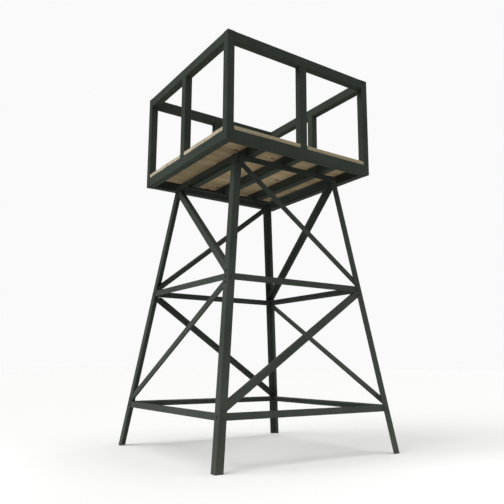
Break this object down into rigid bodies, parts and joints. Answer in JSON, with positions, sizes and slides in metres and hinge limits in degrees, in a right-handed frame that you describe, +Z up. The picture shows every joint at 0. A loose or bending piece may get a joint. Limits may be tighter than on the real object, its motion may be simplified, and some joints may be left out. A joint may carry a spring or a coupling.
{
  "type": "elevated hunting platform",
  "caption": "Square timber deck with a steel railing on a tapering bolted angle-iron tower with ring bars and diagonal braces.",
  "frame": {"origin": "on the ground under the middle of the tower", "axes": "+Z up, +X to the right along the front, +Y to the back"},
  "size_m": [2.13, 2.13, 4.03],
  "materials": {
    "painted_steel": "dark grey-green paint, satin, brushed on",
    "deck_timber": "rough-sawn softwood planks, unfinished",
    "dark_fasteners": "black oxide steel, dull"
  },
  "bodies": {
    "root": {"corner_post_back_left": "painted_steel", "corner_post_back_right": "painted_steel", "corner_post_front_left": "painted_steel", "corner_post_front_right": "painted_steel", "deck_board_01": "deck_timber", "deck_board_02": "deck_timber", "deck_board_03": "deck_timber", "deck_board_04": "deck_timber", "deck_board_05": "deck_timber", "deck_board_06": "deck_timber", "deck_board_07": "deck_timber", "deck_board_08": "deck_timber", "deck_board_09": "deck_timber", "deck_board_10": "deck_timber", "deck_board_11": "deck_timber", "deck_board_12": "deck_timber", "deck_board_13": "deck_timber", "deck_screws": "dark_fasteners", "frame_back": "painted_steel", "frame_front": "painted_steel", "frame_left": "painted_steel", "frame_right": "painted_steel", "joist_1": "painted_steel", "joist_2": "painted_steel", "joist_3": "painted_steel", "leg_back_left": "painted_steel", "leg_back_right": "painted_steel", "leg_front_left": "painted_steel", "leg_front_right": "painted_steel", "lower_brace_back": "painted_steel", "lower_brace_front": "painted_steel", "lower_brace_left": "painted_steel", "lower_brace_right": "painted_steel", "lower_ring_back": "painted_steel", "lower_ring_front": "painted_steel", "lower_ring_left": "painted_steel", "lower_ring_right": "painted_steel", "middle_post_back": "painted_steel", "middle_post_front": "painted_steel", "middle_post_left": "painted_steel", "middle_post_right": "painted_steel", "middle_ring_back": "painted_steel", "middle_ring_front": "painted_steel", "middle_ring_left": "painted_steel", "middle_ring_right": "painted_steel", "post_caps": "painted_steel", "top_rail_back": "painted_steel", "top_rail_front": "painted_steel", "top_rail_left": "painted_steel", "top_rail_right": "painted_steel", "tower_bolts": "dark_fasteners", "tower_nuts": "dark_fasteners", "upper_brace_back": "painted_steel", "upper_brace_front": "painted_steel", "upper_brace_left": "painted_steel", "upper_brace_right": "painted_steel", "upper_ring_back": "painted_steel", "upper_ring_front": "painted_steel", "upper_ring_left": "painted_steel", "upper_ring_right": "painted_steel"}
  },
  "joints": []
}
